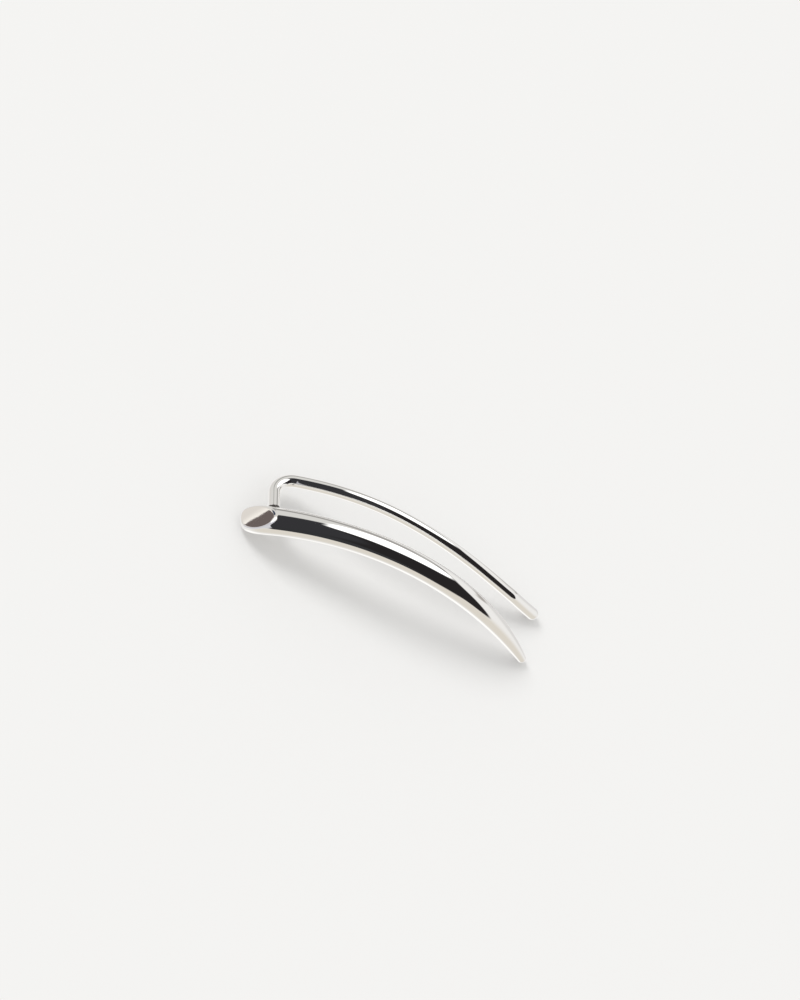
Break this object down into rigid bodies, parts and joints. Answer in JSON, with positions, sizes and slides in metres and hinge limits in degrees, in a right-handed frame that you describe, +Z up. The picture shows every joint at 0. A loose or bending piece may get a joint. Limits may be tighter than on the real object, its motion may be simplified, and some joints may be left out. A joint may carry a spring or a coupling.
{
  "type": "ear climber earring",
  "caption": "Polished silver ear climber: a curved tapered bar with a slanted facet at its thick end, and a thinner ear wire that runs behind it.",
  "frame": {"origin": "middle of the underside of the bounding box, on the surface the part lies on", "axes": "+X from the faceted nose toward the tip of the bar, +Y from the bar toward the ear wire, +Z up, with the arch of the bar upward"},
  "size_m": [0.0252, 0.0058, 0.0049],
  "materials": {
    "silver": "mirror polished sterling silver with faint polishing marks"
  },
  "bodies": {
    "root": {"ear_climber": "silver"}
  },
  "joints": []
}
